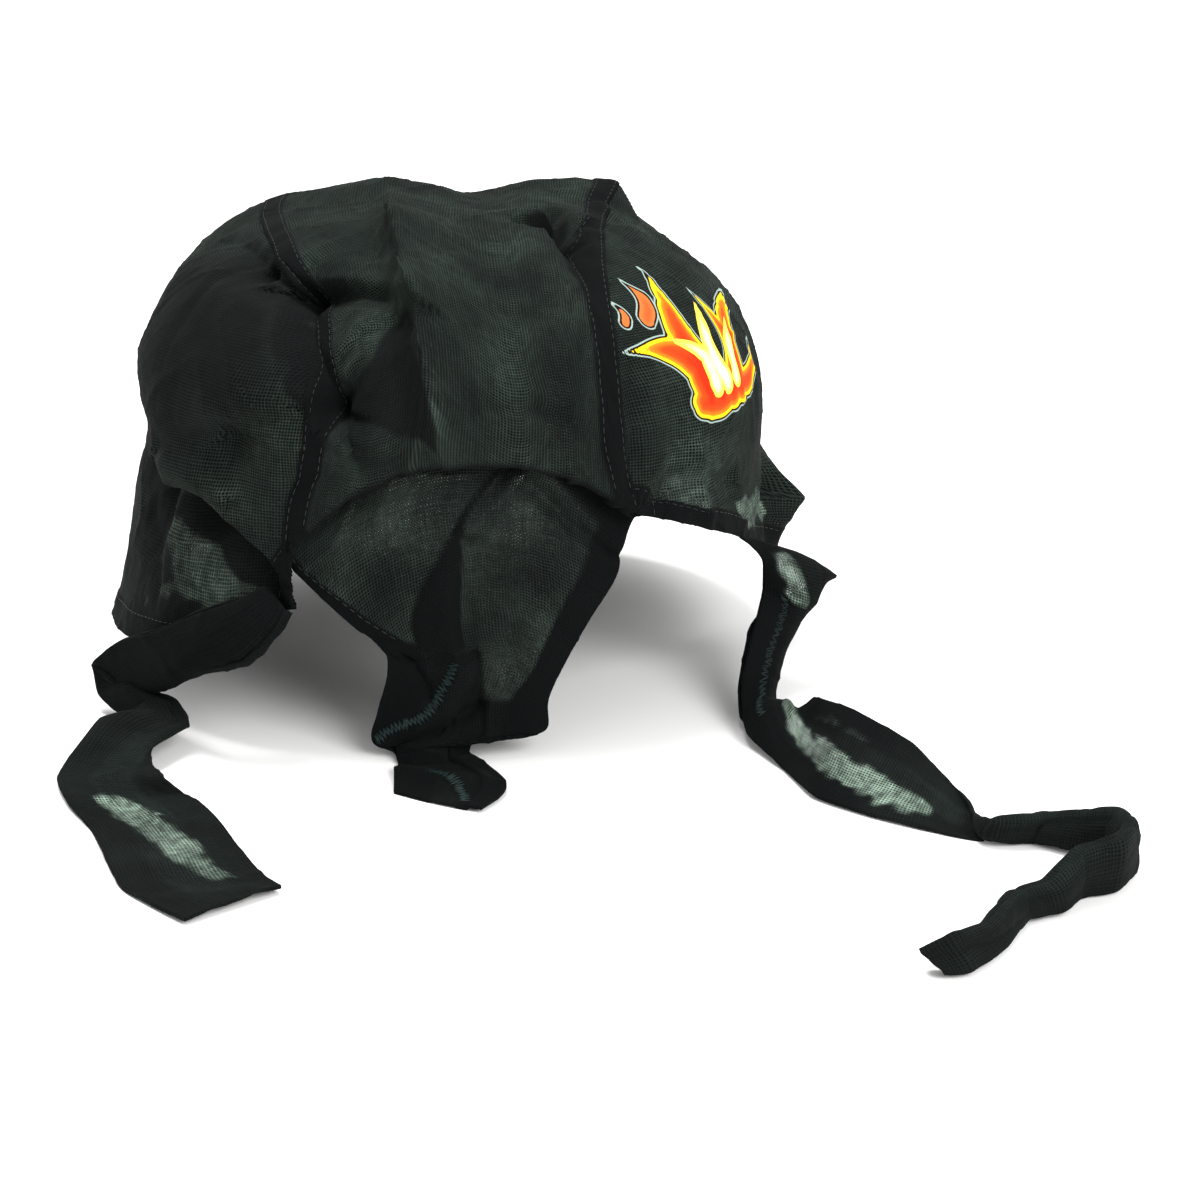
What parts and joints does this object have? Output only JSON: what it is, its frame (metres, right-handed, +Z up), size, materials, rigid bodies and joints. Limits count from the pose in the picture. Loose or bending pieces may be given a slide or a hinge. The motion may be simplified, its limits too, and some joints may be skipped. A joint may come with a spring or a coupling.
{
  "type": "bandana cap",
  "caption": "Close-fitting thin black cotton cap with a seamed crown, an open back arch, a hanging cloth tail and long tie straps lying loose.",
  "frame": {"origin": "inner top of the crown, where the wearer's head carries the cap", "axes": "+Z up, +Y towards the wearer's front, +X towards the wearer's right"},
  "size_m": [0.2896, 0.3227, 0.1469],
  "materials": {
    "cloth": "plain-woven black cotton voile, matte",
    "tie_cloth": "plain-woven black cotton voile, hemmed both sides, matte"
  },
  "bodies": {
    "root": {"center_panel": "cloth", "left_panel": "cloth", "right_panel": "cloth", "tail": "cloth", "tie_left": "tie_cloth", "tie_right": "tie_cloth"}
  },
  "joints": []
}
